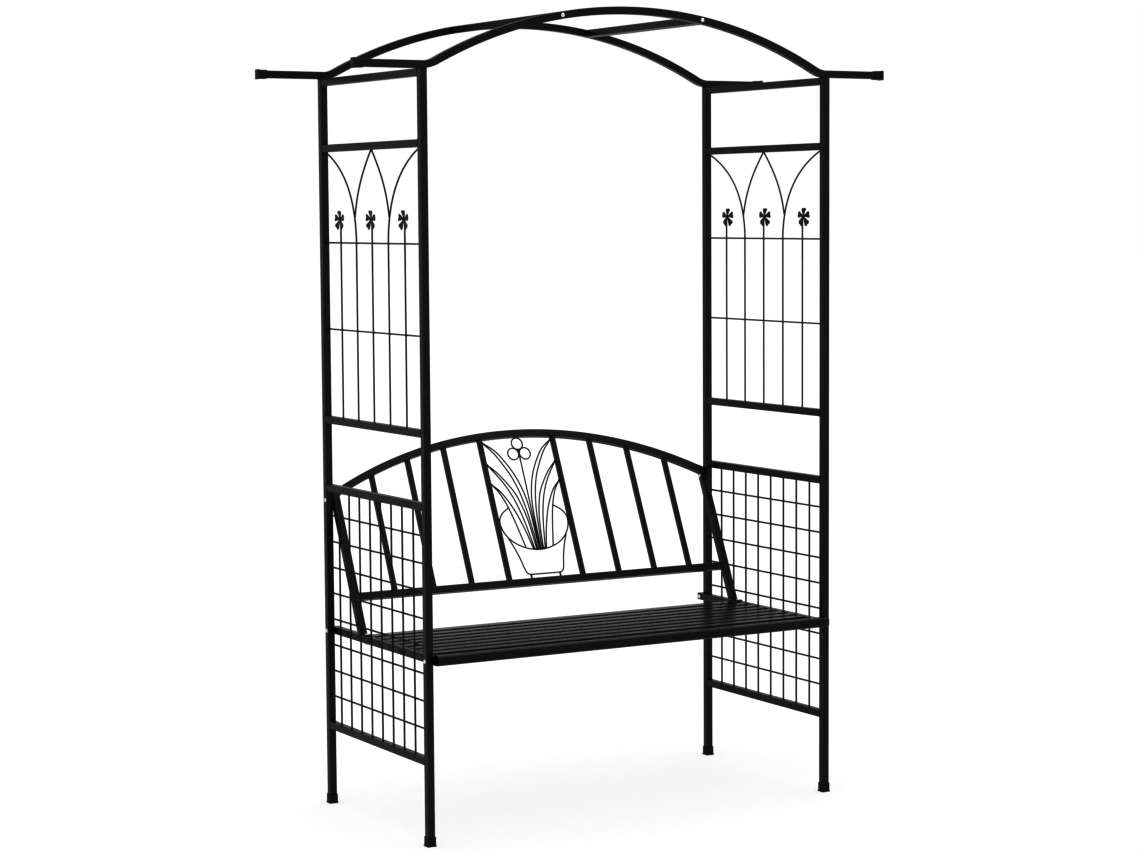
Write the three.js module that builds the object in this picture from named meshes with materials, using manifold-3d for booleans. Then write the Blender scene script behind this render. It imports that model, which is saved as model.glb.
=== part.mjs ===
// Garden arch with an integral slatted bench: welded square steel tube, two side
// frames, two hoops with short level wings, a leaning backrest and a slatted seat.
// Millimetres. X is the width, -Y the front of the bench, +Z up. The origin is on the
// ground in the middle of the whole object's footprint.
import * as THREE from 'three';
import { mergeVertices } from 'three/addons/utils/BufferGeometryUtils.js';
import Module from 'manifold-3d';

const wasm = await Module();
wasm.setup();

// ---------------------------------------------------------------- driving dimensions
const TUBE = 18.5;          // outer width of the square frame tube
const WALL = 1.2;           // its wall
const CHAMFER = 0.8;        // softened tube corner
const GAP = 0.3;            // clearance between touching pieces
const BITE = 0.6;           // how far welded wires reach into the tube that holds them

const POST_X = 588;         // post centre from the middle plane
const POST_Y = 283;         // post centre in front of and behind the frame's middle
const FRAME_SHIFT = -17.58; // moves the frame so that the origin is under the box centre

const RAIL_TOP = 1879;      // side rail heights, tube centres
const RAIL_SCROLL_TOP = 1710;
const RAIL_SCROLL_BOTTOM = 1011;
const RAIL_ARM = 833.2;
const RAIL_FOOT = 208.7;

const HOOP_LEVEL = 1897;    // centre height of the level wings
const HOOP_APEX = 2042.3;   // centre height of the arch's top
const HOOP_RADIUS = 1190;
const HOOP_BEND = 90;       // bend between wing and arch
const WING_END = 766.4;     // tube end under the end cap
const WING_MIDDLE = 690;    // a station on the level wing
const CROSSBAR_X = 203.6;   // the two bars between the hoops

const CAP_FLOOR = 3;        // the same plastic cap closes the feet and the wings
const CAP_DEPTH = 24;
const CAP_ROWS = [[12.4, 0], [12.4, 1.8], [11.2, 4], [11.1, CAP_DEPTH]];

const WIRE = 4.2;           // mesh wire
const MESH_COUNT = 8;
const MESH_PITCH_Z = 67.7;
const MESH_FIRST_Z = 286.8;
const MESH_PITCH_Y = 60.85;

const ROD = 4;              // scroll panel rod
const ROD_PITCH = 91.3;
const ROD_CROSS = [1246, 1468.5];
const ROD_BEND_Z = 1478;    // the second and fourth rods curve out to the posts from here
const BRANCH_Z = 1533;      // inner arcs leave them here
const BRANCH_OUT = 6.7;
const FLOWER_Z = 1528.5;
const FLOWER_SHEET = 1.4;
// petals as [direction, half angle, reach], in degrees and millimetres
const PETALS = [[90, 33, 23.5], [11, 23, 26], [-50, 21, 27], [-130, 21, 27], [169, 23, 26]];
const PETAL_ROOT = 5.2;

const SEAT_Z = 456.75;      // centre height of the seat's side bars
const SEAT_X = POST_X - TUBE - GAP;
const FRONT_BAR_Y = -306.5; // larger front bar with well rounded edges
const FRONT_BAR_Z = 460.2;
const FRONT_BAR_HALF = 579;
const FRONT_BAR = 25;
const FRONT_BAR_EDGE = 6.5;
const FRONT_BAR_WALL = 1.4;
const SLAT_W = 28;
const SLAT_H = 10;
const SLAT_EDGE = 1.6;
const THIN_WALL = 1.1;      // wall of the slats
const SLAT_PITCH = 45;
const SLAT_FIRST_Y = 95;
const SLAT_COUNT = 8;

const LEAN = Math.atan(0.4577);   // backrest lean from the vertical
const BACK_FOOT_Z = 472;          // backrest plane's origin height
const BACK_FOOT_Y = 127.9;
const STRUT_X = 569;
const STRUT_BOLT_Y = 280;
const STRUT_BOLT_Z = 800.5;
const FOOT_BOLT_Y = 100;
const TAB_Y = 106;                // strut's foot tab
const TAB_LENGTH = 34;
const TAB = 2.6;
const BACK_PITCH = 113.4;         // backrest slat spacing
const BACK_SLAT = 12.7;
const BACK_SLAT_EDGE = 1.5;
const BACK_BAR_S = 93;            // bottom bar up the slope
const BACK_ARCH_R = 1222;
const BACK_ARCH_S = 515;          // arch top up the slope

const ORN = 3.5;                  // ornament wire
const POT_BASE_S = 114.6;
const POT_FOOT_X = 44.5;
const STEM_LOW = 183.5;
const STEM_HIGH = 466;
const RIM_S = 264;                // middle of the pot's open rim
const RIM_X = 104.4;
const RING_R = 18.35;
const RING_HOLE = 14.9;
const RINGS = [[0, 486.6], [-18.1, 457.6], [18.1, 457.6]];
// leaf outlines of the ornament's right half, [x, up the slope], and their steps
const LEAVES = [
  [9, [105.2, 493], [78.5, 463.5], [58, 430.5], [40, 395.5], [27, 357.5], [19, 321], [13.5, 285], [10.5, 248],
    [8, 216], [7, 183]],
  [9, [104.9, 493.4], [74, 470], [49.5, 437], [29, 399], [15.5, 361], [8, 325], [5, 290], [4, 258],
    [3.2, 216], [2.6, 183]],
  [8, [105.1, 429.7], [84.5, 402], [66, 373.5], [50, 340], [38, 304], [29, 266], [23, 230], [16, 184]],
  [8, [104.8, 430.2], [80, 406], [57.5, 376], [39, 345], [27, 310], [19, 275], [15, 243], [12.5, 213],
    [10.5, 184]],
  [6, [105.1, 374], [89, 353.5], [75.5, 325], [67, 300], [58, 266], [50.5, 231], [42.5, 193]],
  [7, [104.8, 374.5], [83, 353], [66.5, 327], [51.5, 296.5], [39.5, 262.5], [30, 230], [23, 200], [20, 186]],
];
const POT = [[88.5, 219], [76.5, 190], [66, 157.5], [59.5, 130], [54, 118.5], [45, POT_BASE_S]];

const HOLE = 3.8;                 // radius of the bolt holes
const THROUGH = 40;               // drill length that passes any tube

const HALF = TUBE / 2;
const POST_TOP = HOOP_LEVEL - HALF;
const SIDES = [['left', -1], ['right', 1]];
const ENDS = [['front', -1], ['rear', 1]];

// ---------------------------------------------------------------- materials
const coat = new THREE.MeshStandardMaterial({ color: 0x121211, roughness: 0.42, metalness: 0.25 });
const plastic = new THREE.MeshStandardMaterial({ color: 0x141414, roughness: 0.6, metalness: 0.0 });
const zinc = new THREE.MeshStandardMaterial({ color: 0xc4c6c8, roughness: 0.32, metalness: 1.0 });

const root = new THREE.Group();
const frame = new THREE.Group();
frame.position.y = FRAME_SHIFT;
root.add(frame);
const back = new THREE.Group();
back.position.set(0, BACK_FOOT_Y, BACK_FOOT_Z);
back.rotation.x = -LEAN;
frame.add(back);

// ---------------------------------------------------------------- helpers
function toSolid(geometry) {
  const g = geometry.clone();
  for (const name of Object.keys(g.attributes)) {
    if (name !== 'position') g.deleteAttribute(name);
  }
  const m = mergeVertices(g, 1e-4);
  return new wasm.Manifold(new wasm.Mesh({
    numProp: 3,
    vertProperties: new Float32Array(m.attributes.position.array),
    triVerts: new Uint32Array(m.index.array),
  }));
}

function toGeometry(solid) {
  const mesh = solid.getMesh();
  const g = new THREE.BufferGeometry();
  g.setAttribute('position', new THREE.BufferAttribute(new Float32Array(mesh.vertProperties), 3));
  g.setIndex(new THREE.BufferAttribute(new Uint32Array(mesh.triVerts), 1));
  const flat = g.toNonIndexed();
  flat.computeVertexNormals();
  return flat;
}

const join = (list) => toGeometry(list.map(toSolid).reduce((a, b) => a.add(b)));
const cut = (body, tools) => toGeometry(tools.map(toSolid).reduce((a, b) => a.subtract(b), toSolid(body)));

function outline(points, hole = false) {
  const s = hole ? new THREE.Path() : new THREE.Shape();
  points.forEach(([x, y], i) => (i ? s.lineTo(x, y) : s.moveTo(x, y)));
  s.closePath();
  return s;
}

const chamfered = (w, h, c) => [
  [w, -h + c], [w, h - c], [w - c, h], [-w + c, h], [-w, h - c], [-w, -h + c], [-w + c, -h], [w - c, -h],
];

// square section with chamfered corners, hollow
function section(size, wall = WALL, chamfer = CHAMFER) {
  const s = outline(chamfered(size / 2, size / 2, chamfer));
  const hole = size / 2 - wall;
  s.holes.push(outline(chamfered(hole, hole, Math.max(0.4, chamfer - wall)), true));
  return s;
}

function flatTube(w, h, wall) {
  const s = outline(chamfered(w / 2, h / 2, SLAT_EDGE));
  const [a, b] = [w / 2 - wall, h / 2 - wall];
  s.holes.push(outline([[a, b], [a, -b], [-a, -b], [-a, b]], true));
  return s;
}

function roundedTube(size, edge, wall) {
  const steps = 3;
  const ring = (h, r) => {
    const points = [];
    for (const [cx, cy, start] of [[1, 1, 0], [-1, 1, 90], [-1, -1, 180], [1, -1, 270]]) {
      for (let k = 0; k <= steps; k++) {
        const a = THREE.MathUtils.degToRad(start + (k * 90) / steps);
        points.push([cx * (h - r) + r * Math.cos(a), cy * (h - r) + r * Math.sin(a)]);
      }
    }
    return points;
  };
  const s = outline(ring(size / 2, edge));
  s.holes.push(outline(ring(size / 2 - wall, edge - wall), true));
  return s;
}

function polygon(radius, sides, turn = 0) {
  const points = [];
  for (let i = 0; i < sides; i++) {
    const a = turn + (2 * Math.PI * i) / sides;
    points.push([radius * Math.cos(a), radius * Math.sin(a)]);
  }
  return outline(points);
}

// straight length of a section, centred, along 'x', 'y' or 'z'
function length(shape, mm, axis) {
  const g = new THREE.ExtrudeGeometry(shape, { depth: mm, bevelEnabled: false });
  g.translate(0, 0, -mm / 2);
  if (axis === 'x') g.rotateY(Math.PI / 2);
  if (axis === 'y') g.rotateX(-Math.PI / 2);
  return g;
}

// path through given points, one step per point
class Stations extends THREE.Curve {
  constructor(points) {
    super();
    this.points = points;
  }

  at(u) {
    const last = this.points.length - 1;
    return Math.min(last, Math.max(0, Math.round(u * last)));
  }

  getPoint(u) {
    return this.points[this.at(u)].clone();
  }

  getPointAt(u) {
    return this.getPoint(u);
  }

  getTangentAt(u) {
    const i = this.at(u);
    const p = this.points;
    const t = new THREE.Vector3();
    if (i > 0) t.add(p[i].clone().sub(p[i - 1]).normalize());
    if (i < p.length - 1) t.add(p[i + 1].clone().sub(p[i]).normalize());
    return t.normalize();
  }
}

function sweep(shape, points) {
  const path = new Stations(points);
  const steps = points.length - 1;
  return new THREE.ExtrudeGeometry(shape, { steps, bevelEnabled: false, extrudePath: path });
}

function box(sx, sy, sz, x, y, z) {
  const g = new THREE.BoxGeometry(sx, sy, sz);
  g.translate(x, y, z);
  return g;
}

// a drill along an axis
function drill(axis, x, y, z, mm = THROUGH) {
  const g = length(polygon(HOLE, 8, Math.PI / 8), mm, axis);
  g.translate(x, y, z);
  return g;
}

function add(parent, name, geometry, material, x = 0, y = 0, z = 0) {
  const mesh = new THREE.Mesh(geometry, material);
  mesh.name = name;
  mesh.position.set(x, y, z);
  parent.add(mesh);
  return mesh;
}

// plastic cap that slips over a square tube's end; the closed face is at 0 and it opens
// along +Z. CAP_ROWS are [half width, height] of its outside
function cap() {
  const q = Math.SQRT2;
  const inner = (HALF + GAP) * q;
  const profile = [new THREE.Vector2(0, 0)];
  for (const [half, z] of CAP_ROWS) profile.push(new THREE.Vector2(half * q, z));
  profile.push(new THREE.Vector2(inner, CAP_DEPTH), new THREE.Vector2(inner, CAP_FLOOR));
  profile.push(new THREE.Vector2(0, CAP_FLOOR));
  const g = new THREE.LatheGeometry(profile, 4);
  g.rotateX(Math.PI / 2);
  g.rotateZ(Math.PI / 4);
  return g;
}

// bolt with a button head at +grip/2 and a nut of the given height at -grip/2, along +Z
function bolt(grip, nutHeight = 3) {
  const h = grip / 2;
  const head = [[0, h + 3.0], [3.4, h + 2.5], [5.4, h + 0.2], [2.9, h + 0.2]];
  const end = -h - nutHeight;
  const nut = [[2.9, -h - 0.2], [5.2, -h - 0.2], [5.2, end + 1], [3.4, end], [0, end]];
  const profile = [...head, ...nut].map(([r, z]) => new THREE.Vector2(r, z)).reverse();
  const g = new THREE.LatheGeometry(profile, 8);
  g.rotateX(Math.PI / 2);
  return g;
}

const tube = section(TUBE);
const railLength = 2 * (POST_Y - HALF - GAP);

// a side panel's two rails, joined to what is welded between them
function rails(heights) {
  return heights.map((z) => {
    const g = length(tube, railLength, 'y');
    g.translate(0, 0, z);
    return g;
  });
}

// ---------------------------------------------------------------- side frames
// five petals of pressed sheet, one outline, in the panel's plane
function flower() {
  const points = [];
  for (const [direction, half, reach] of PETALS) {
    const shape = [[-1.2, PETAL_ROOT], [-1, reach * 0.84], [-0.5, reach], [0.5, reach], [1, reach * 0.84],
      [1.2, PETAL_ROOT]];
    for (const [share, r] of shape.slice().reverse()) {
      const a = THREE.MathUtils.degToRad(direction + (share * half));
      points.push([r * Math.cos(a), r * Math.sin(a)]);
    }
  }
  const g = new THREE.ExtrudeGeometry(outline(points), { depth: FLOWER_SHEET, bevelEnabled: false });
  g.rotateX(Math.PI / 2);
  g.rotateZ(Math.PI / 2);
  return g;
}

// two rails, five rods, two cross rods, two arcs that branch off, and three flowers
function scrollPanel(sx) {
  const low = RAIL_SCROLL_BOTTOM + HALF - BITE;
  const high = RAIL_SCROLL_TOP - HALF + BITE;
  const parts = rails([RAIL_SCROLL_TOP, RAIL_SCROLL_BOTTOM]);
  for (let i = -2; i <= 2; i++) {
    const top = i % 2 === 0 ? FLOWER_Z - 2 : ROD_BEND_Z + 1;
    parts.push(box(ROD, ROD, top - low, 0, i * ROD_PITCH, (top + low) / 2));
  }
  for (const z of ROD_CROSS) parts.push(box(ROD, railLength, ROD, -sx * (ROD - 1), 0, z));
  for (const s of [-1, 1]) {
    const y = ROD_PITCH;
    const at = (across, z) => new THREE.Vector3(0, s * across, z);
    const out = new THREE.CubicBezierCurve3(at(y, ROD_BEND_Z), at(y + 4.4, 1563.9), at(y + 46.2, 1649.7),
      at(y + 177, high - 1));
    const branch = y + BRANCH_OUT;
    const inner = new THREE.CubicBezierCurve3(at(branch, BRANCH_Z), at(branch - 14, BRANCH_Z + 65),
      at(branch - 41.2, BRANCH_Z + 108), at(2.2, high));
    parts.push(sweep(polygon(ROD * 0.56, 4, 0), out.getSpacedPoints(10)));
    parts.push(sweep(polygon(ROD * 0.55, 4, 0), inner.getSpacedPoints(6)));
  }
  for (const i of [-2, 0, 2]) {
    const g = flower();
    const x = sx > 0 ? ROD / 2 - 0.5 : -ROD / 2 - FLOWER_SHEET + 0.5;
    g.translate(x, i * ROD_PITCH, FLOWER_Z);
    parts.push(g);
  }
  return join(parts);
}

// arm rail, foot rail and a square wire mesh
function meshPanel(sx) {
  const low = RAIL_FOOT + HALF - BITE;
  const high = RAIL_ARM - HALF + BITE;
  const offset = sx * (WIRE / 2 - 0.5);
  const parts = rails([RAIL_ARM, RAIL_FOOT]);
  for (let i = 0; i < MESH_COUNT; i++) {
    const y = (i - (MESH_COUNT - 1) / 2) * MESH_PITCH_Y;
    parts.push(box(WIRE, WIRE, high - low, offset, y, (low + high) / 2));
    parts.push(box(WIRE, railLength, WIRE, -offset, 0, MESH_FIRST_Z + i * MESH_PITCH_Z));
  }
  return join(parts);
}

for (const [side, sx] of SIDES) {
  for (const [end, sy] of ENDS) {
    const bottom = CAP_FLOOR + GAP;
    const top = POST_TOP - GAP;
    const post = length(tube, top - bottom, 'z');
    post.translate(0, 0, (top + bottom) / 2);
    const holes = [drill('x', 0, 0, SEAT_Z)];
    if (end === 'rear') holes.push(drill('x', 0, STRUT_BOLT_Y - POST_Y, STRUT_BOLT_Z));
    add(frame, `post_${end}_${side}`, cut(post, holes), coat, sx * POST_X, sy * POST_Y, 0);
    add(frame, `foot_cap_${end}_${side}`, cap(), plastic, sx * POST_X, sy * POST_Y, 0);
  }
  add(frame, `side_rail_top_${side}`, length(tube, railLength, 'y'), coat, sx * POST_X, 0, RAIL_TOP);
  add(frame, `scroll_panel_${side}`, scrollPanel(sx), coat, sx * POST_X, 0, 0);
  add(frame, `mesh_panel_${side}`, meshPanel(sx), coat, sx * POST_X, 0, 0);
}

// ---------------------------------------------------------------- hoops, crossbars, wing caps
const hoopCentre = HOOP_APEX - HOOP_RADIUS;
const bendReach = HOOP_RADIUS + HOOP_BEND;
const bendZ = HOOP_LEVEL + HOOP_BEND;
const bendX = Math.sqrt(bendReach ** 2 - (bendZ - hoopCentre) ** 2);
const bendAngle = Math.asin(bendX / bendReach);   // slope where arch and bend meet

function hoopPoints() {
  const half = [[WING_END, HOOP_LEVEL], [WING_MIDDLE, HOOP_LEVEL]];
  const bendSteps = 4;
  for (let i = 0; i <= bendSteps; i++) {
    const a = (bendAngle * i) / bendSteps;
    half.push([bendX - HOOP_BEND * Math.sin(a), bendZ - HOOP_BEND * Math.cos(a)]);
  }
  const archSteps = 7;
  for (let i = 1; i <= archSteps; i++) {
    const a = bendAngle * (1 - i / archSteps);
    half.push([HOOP_RADIUS * Math.sin(a), hoopCentre + HOOP_RADIUS * Math.cos(a)]);
  }
  const left = half.map(([x, z]) => new THREE.Vector3(-x, 0, z));
  const right = half.slice(0, -1).reverse().map(([x, z]) => new THREE.Vector3(x, 0, z));
  return left.concat(right);
}

const crossZ = hoopCentre + Math.sqrt(HOOP_RADIUS ** 2 - CROSSBAR_X ** 2);
const crossTilt = Math.asin(CROSSBAR_X / HOOP_RADIUS);
for (const [end, sy] of ENDS) {
  const holes = [-1, 1].map((s) => drill('y', s * CROSSBAR_X, 0, crossZ));
  add(frame, `hoop_${end}`, cut(sweep(tube, hoopPoints()), holes), coat, 0, sy * POST_Y, 0);
  for (const [side, sx] of SIDES) {
    const lid = cap();
    lid.rotateY((-sx * Math.PI) / 2);
    const x = sx * (WING_END + CAP_FLOOR + GAP);
    add(frame, `wing_cap_${end}_${side}`, lid, plastic, x, sy * POST_Y, HOOP_LEVEL);
  }
}
for (const [side, sx] of SIDES) {
  const bar = add(frame, `crossbar_${side}`, length(tube, railLength, 'y'), coat, sx * CROSSBAR_X, 0, crossZ);
  bar.rotation.y = sx * crossTilt;
  for (const [end, sy] of ENDS) {
    const name = `crossbar_screw_${end}_${side}`;
    const screw = add(frame, name, bolt(TUBE), zinc, sx * CROSSBAR_X, sy * POST_Y, crossZ);
    screw.rotation.x = (-sy * Math.PI) / 2;
  }
}

// ---------------------------------------------------------------- seat
const sideFront = FRONT_BAR_Y + FRONT_BAR / 2 + GAP;
const sideRear = POST_Y + HALF;
for (const [side, sx] of SIDES) {
  const mid = (sideRear + sideFront) / 2;
  const bar = cut(length(tube, sideRear - sideFront, 'y'), [
    drill('x', 0, -POST_Y - mid, 0), drill('x', 0, POST_Y - mid, 0), drill('z', 0, FOOT_BOLT_Y - mid, 0),
  ]);
  add(frame, `seat_side_bar_${side}`, bar, coat, sx * SEAT_X, mid, SEAT_Z);
}
const frontBar = length(roundedTube(FRONT_BAR, FRONT_BAR_EDGE, FRONT_BAR_WALL), 2 * FRONT_BAR_HALF, 'x');
add(frame, 'seat_front_bar', frontBar, coat, 0, FRONT_BAR_Y, FRONT_BAR_Z);

const seatInner = SEAT_X - HALF - GAP;
const seatTop = SEAT_Z + HALF;
for (let i = 0; i < SLAT_COUNT; i++) {
  const slat = length(flatTube(SLAT_H, SLAT_W, THIN_WALL), 2 * seatInner, 'x');
  add(frame, `seat_slat_${i + 1}`, slat, coat, 0, SLAT_FIRST_Y - i * SLAT_PITCH, seatTop - SLAT_H / 2);
}
const thinTube = section(BACK_SLAT, THIN_WALL, BACK_SLAT_EDGE);
const rearBarY = SLAT_FIRST_Y + SLAT_W / 2 + GAP + BACK_SLAT / 2;
const rearBarDrop = 1.2;    // the rear bar lies a little below the slats' tops
add(frame, 'seat_rear_bar', length(thinTube, 2 * seatInner, 'x'), coat,
  0, rearBarY, seatTop - rearBarDrop - BACK_SLAT / 2);

// ---------------------------------------------------------------- backrest, in its leaning plane
// local X is the width, local Z runs up the slope
const TILT_AXIS = new THREE.Vector3(1, 0, 0);
const archCentre = BACK_ARCH_S - BACK_ARCH_R;
const archAt = (x, r) => archCentre + Math.sqrt(r * r - x * x);
const toLocal = (y, z) => (
  new THREE.Vector3(0, y - BACK_FOOT_Y, z - BACK_FOOT_Z).applyAxisAngle(TILT_AXIS, LEAN));

// a level body set into the leaning plane's axes at a height and depth of the frame
function levelled(geometry, y, z) {
  const p = toLocal(y, z);
  geometry.rotateX(LEAN);
  geometry.translate(p.x, p.y, p.z);
  return geometry;
}

for (const [side, sx] of SIDES) {
  const strut = length(tube, 440, 'z');
  strut.translate(0, 0, 190);
  const above = box(80, 60, 80, 0, 0, 40);
  above.rotateY(sx * Math.asin(STRUT_X / BACK_ARCH_R));
  above.translate(0, 0, archAt(STRUT_X, BACK_ARCH_R + HALF));
  const below = levelled(box(60, 120, 60, 0, 0, -30), BACK_FOOT_Y, seatTop + GAP);
  const tab = levelled(box(TUBE, TAB_LENGTH, TAB, 0, 0, 0), TAB_Y, seatTop + GAP + TAB / 2);
  const down = levelled(drill('z', 0, 0, 0, 12), FOOT_BOLT_Y, seatTop + GAP + TAB / 2);
  const b = toLocal(STRUT_BOLT_Y, STRUT_BOLT_Z);
  const across = drill('x', 0, b.y, b.z);
  const body = join([cut(strut, [above, below]), tab]);
  add(back, `backrest_strut_${side}`, cut(body, [across, down]), coat, sx * STRUT_X, 0, 0);
}

const archEdge = STRUT_X - HALF - GAP;
function archBar() {
  const overshoot = 14;
  const steps = 18;
  const reach = Math.asin((archEdge + overshoot) / BACK_ARCH_R);
  const points = [];
  for (let i = 0; i <= steps; i++) {
    const a = -reach + (2 * reach * i) / steps;
    points.push(new THREE.Vector3(BACK_ARCH_R * Math.sin(a), 0, archCentre + BACK_ARCH_R * Math.cos(a)));
  }
  const ends = [-1, 1].map((s) => box(60, 60, 120, s * (archEdge + 30), 0, archAt(archEdge, BACK_ARCH_R)));
  return cut(sweep(tube, points), ends);
}
add(back, 'backrest_arch_bar', archBar(), coat);
add(back, 'backrest_bottom_bar', length(tube, 2 * archEdge, 'x'), coat, 0, 0, BACK_BAR_S);

[-4, -3, -2, -1, 1, 2, 3, 4].forEach((place, n) => {
  const x = place * BACK_PITCH;
  const spare = 20;
  const low = BACK_BAR_S + HALF + GAP;
  const high = archAt(x, BACK_ARCH_R - HALF);
  const slat = length(thinTube, high + spare - low, 'z');
  slat.translate(0, 0, (high + spare + low) / 2);
  const lid = box(60, 60, 60, 0, 0, 30);
  lid.rotateY(Math.asin(x / BACK_ARCH_R));
  lid.translate(0, 0, high - 0.95);
  add(back, `backrest_slat_${n + 1}`, cut(slat, [lid]), coat, x, 0, 0);
});

// flower pot ornament: three rings on a stem, six two-rod leaves, an open rim and a pot
function ornament() {
  const at = (x, s) => new THREE.Vector3(x, 0, s);
  const half = ORN / 2;
  const wires = [];
  // each wire is a hair thinner than the one before, so that no two faces coincide
  const thin = (k) => half * (1.08 - 0.006 * k);
  [-1, 1].forEach((m, side) => LEAVES.forEach(([steps, ...leaf], k) => {
    const curve = new THREE.CatmullRomCurve3(leaf.map(([x, s]) => at(m * x, s)), false, 'centripetal');
    wires.push(sweep(polygon(thin(side * LEAVES.length + k), 4, 0), curve.getSpacedPoints(steps)));
  }));
  const rim = [];
  const rimSteps = 18;
  for (let i = 0; i <= rimSteps; i++) {
    const a = Math.PI * (-1.27 + (1.54 * i) / rimSteps);
    rim.push(at(RIM_X * Math.cos(a), RIM_S + (Math.sin(a) > 0 ? 54 : 81) * Math.sin(a)));
  }
  wires.push(sweep(polygon(half, 4, 0), rim));
  const potLeft = POT.map(([x, s]) => at(-x, s));
  const potRight = POT.map(([x, s]) => at(x, s)).reverse();
  wires.push(sweep(polygon(half * 0.98, 4, 0), potLeft.concat(potRight)));
  wires.push(sweep(polygon(half, 4, Math.PI / 4), [at(0, STEM_LOW), at(0, STEM_HIGH)]));
  for (const m of [-1, 1]) {
    const foot = [at(m * POT_FOOT_X, BACK_BAR_S + HALF + GAP), at(m * POT_FOOT_X, POT_BASE_S)];
    wires.push(sweep(polygon(ORN * 0.75, 4, Math.PI / 4), foot));
  }
  for (const [x, s] of RINGS) {
    const ring = polygon(RING_R, 14, Math.PI / 14 + x * 0.001);
    ring.holes.push(polygon(RING_HOLE, 14, Math.PI / 14));
    const thick = ORN - 0.02 * Math.abs(x) - 0.003 * x;
    const g = new THREE.ExtrudeGeometry(ring, { depth: thick, bevelEnabled: false });
    g.translate(0, 0, -thick / 2);
    g.rotateX(Math.PI / 2);
    g.translate(x, 0, s);
    wires.push(g);
  }
  return join(wires);
}
add(back, 'backrest_ornament', ornament(), coat);

// ---------------------------------------------------------------- bolts
for (const [side, sx] of SIDES) {
  const grip = TUBE * 2 + GAP;
  for (const [end, sy] of ENDS) {
    const x = (sx * (POST_X + SEAT_X)) / 2;
    const b = add(frame, `seat_bolt_${end}_${side}`, bolt(grip), zinc, x, sy * POST_Y, SEAT_Z);
    b.rotation.y = (sx * Math.PI) / 2;
  }
  const x = (sx * (POST_X + STRUT_X)) / 2;
  const s = add(frame, `backrest_bolt_${side}`, bolt(grip), zinc, x, STRUT_BOLT_Y, STRUT_BOLT_Z);
  s.rotation.y = (sx * Math.PI) / 2;
  const plate = GAP + TAB;
  add(frame, `strut_foot_bolt_${side}`, bolt(TUBE + plate, 5.2), zinc,
    sx * SEAT_X, FOOT_BOLT_Y, SEAT_Z + plate / 2);
}

export default root;
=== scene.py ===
"""Garden arch with a built-in slatted bench: the fine model round the CAD frame.

Sizes in the builders below are millimetres in the frame's own axes: X across, -Y to the
front of the bench, Z up. place() turns them into metres. Each piece takes its place from
the CAD node that it stands for.
"""
import math
import random

import bmesh
import bpy
from mathutils import Matrix, Vector

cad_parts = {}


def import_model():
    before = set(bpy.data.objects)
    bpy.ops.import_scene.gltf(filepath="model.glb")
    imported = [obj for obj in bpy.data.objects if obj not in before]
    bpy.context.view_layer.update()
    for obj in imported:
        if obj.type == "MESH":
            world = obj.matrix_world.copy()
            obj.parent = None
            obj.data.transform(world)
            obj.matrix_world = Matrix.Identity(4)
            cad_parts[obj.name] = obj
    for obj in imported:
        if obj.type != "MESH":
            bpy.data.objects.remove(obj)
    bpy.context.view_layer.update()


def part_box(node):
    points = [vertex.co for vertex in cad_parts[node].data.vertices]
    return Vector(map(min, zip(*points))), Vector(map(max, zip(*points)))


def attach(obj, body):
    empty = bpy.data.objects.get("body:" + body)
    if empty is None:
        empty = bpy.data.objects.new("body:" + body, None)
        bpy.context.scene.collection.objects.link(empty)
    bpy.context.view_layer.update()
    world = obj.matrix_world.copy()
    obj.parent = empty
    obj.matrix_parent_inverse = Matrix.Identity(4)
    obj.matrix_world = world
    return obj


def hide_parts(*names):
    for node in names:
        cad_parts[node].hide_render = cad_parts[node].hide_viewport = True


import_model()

MM = 0.001
SIDES = (("left", -1), ("right", 1))
ENDS = (("front", -1), ("rear", 1))


def node_box(name):
    """Lowest and highest corner of a CAD node, in millimetres."""
    low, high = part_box(name)
    return low / MM, high / MM


def node_centre(name):
    low, high = node_box(name)
    return (low + high) / 2


# ------------------------------------------------------------------ driving dimensions
POST_LOW, POST_HIGH = node_box("post_front_right")
TUBE = POST_HIGH.x - POST_LOW.x
HALF = TUBE / 2
POST_X = (POST_LOW.x + POST_HIGH.x) / 2
POST_Y = {end: node_centre(f"post_{end}_right").y for end, _ in ENDS}
MID_Y = (POST_Y["front"] + POST_Y["rear"]) / 2
CORNER = 1.2                # outer corner radius of the square tube
CORNER_STEPS = 5
GAP = 0.3                   # clearance that the CAD pieces keep

RAIL_SCROLL_TOP = 1710      # side rail heights, tube centres
RAIL_SCROLL_BOTTOM = 1011
RAIL_ARM = 833.2
RAIL_FOOT = 208.7
RAIL_LENGTH = 2 * ((POST_Y["rear"] - POST_Y["front"]) / 2 - HALF - GAP)

HOOP_RADIUS = 1190
HOOP_BEND = 90
HOOP_APEX = node_box("hoop_front")[1].z - HALF
HOOP_LEVEL = node_box("hoop_front")[0].z + HALF
WING_END = node_box("hoop_front")[1].x
CROSSBAR_X = 203.6
BEND_DIP = 1.9              # how far the bend's squeezed upper face sinks

WIRE = 2.2                  # radii of the wires and rods
ROD = 2.0
MESH_PITCH_Z = 67.7
MESH_FIRST_Z = 286.8
MESH_PITCH_Y = 60.85
MESH_WIRES = 8
ROD_PITCH = 91.3
ROD_CROSS = (1246, 1468.5)
FLOWER_Z = 1528.5
ROD_BEND_Z = 1478           # the second and fourth rods curve out to the posts from here
BRANCH_Z = 1533             # the inner arcs leave them here
BRANCH_OUT = 6.7
# petals as (direction, half angle in degrees, reach)
PETALS = ((90, 31, 21.5), (11, 23, 26), (-54, 25, 28), (-126, 25, 28), (169, 23, 26))

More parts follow.
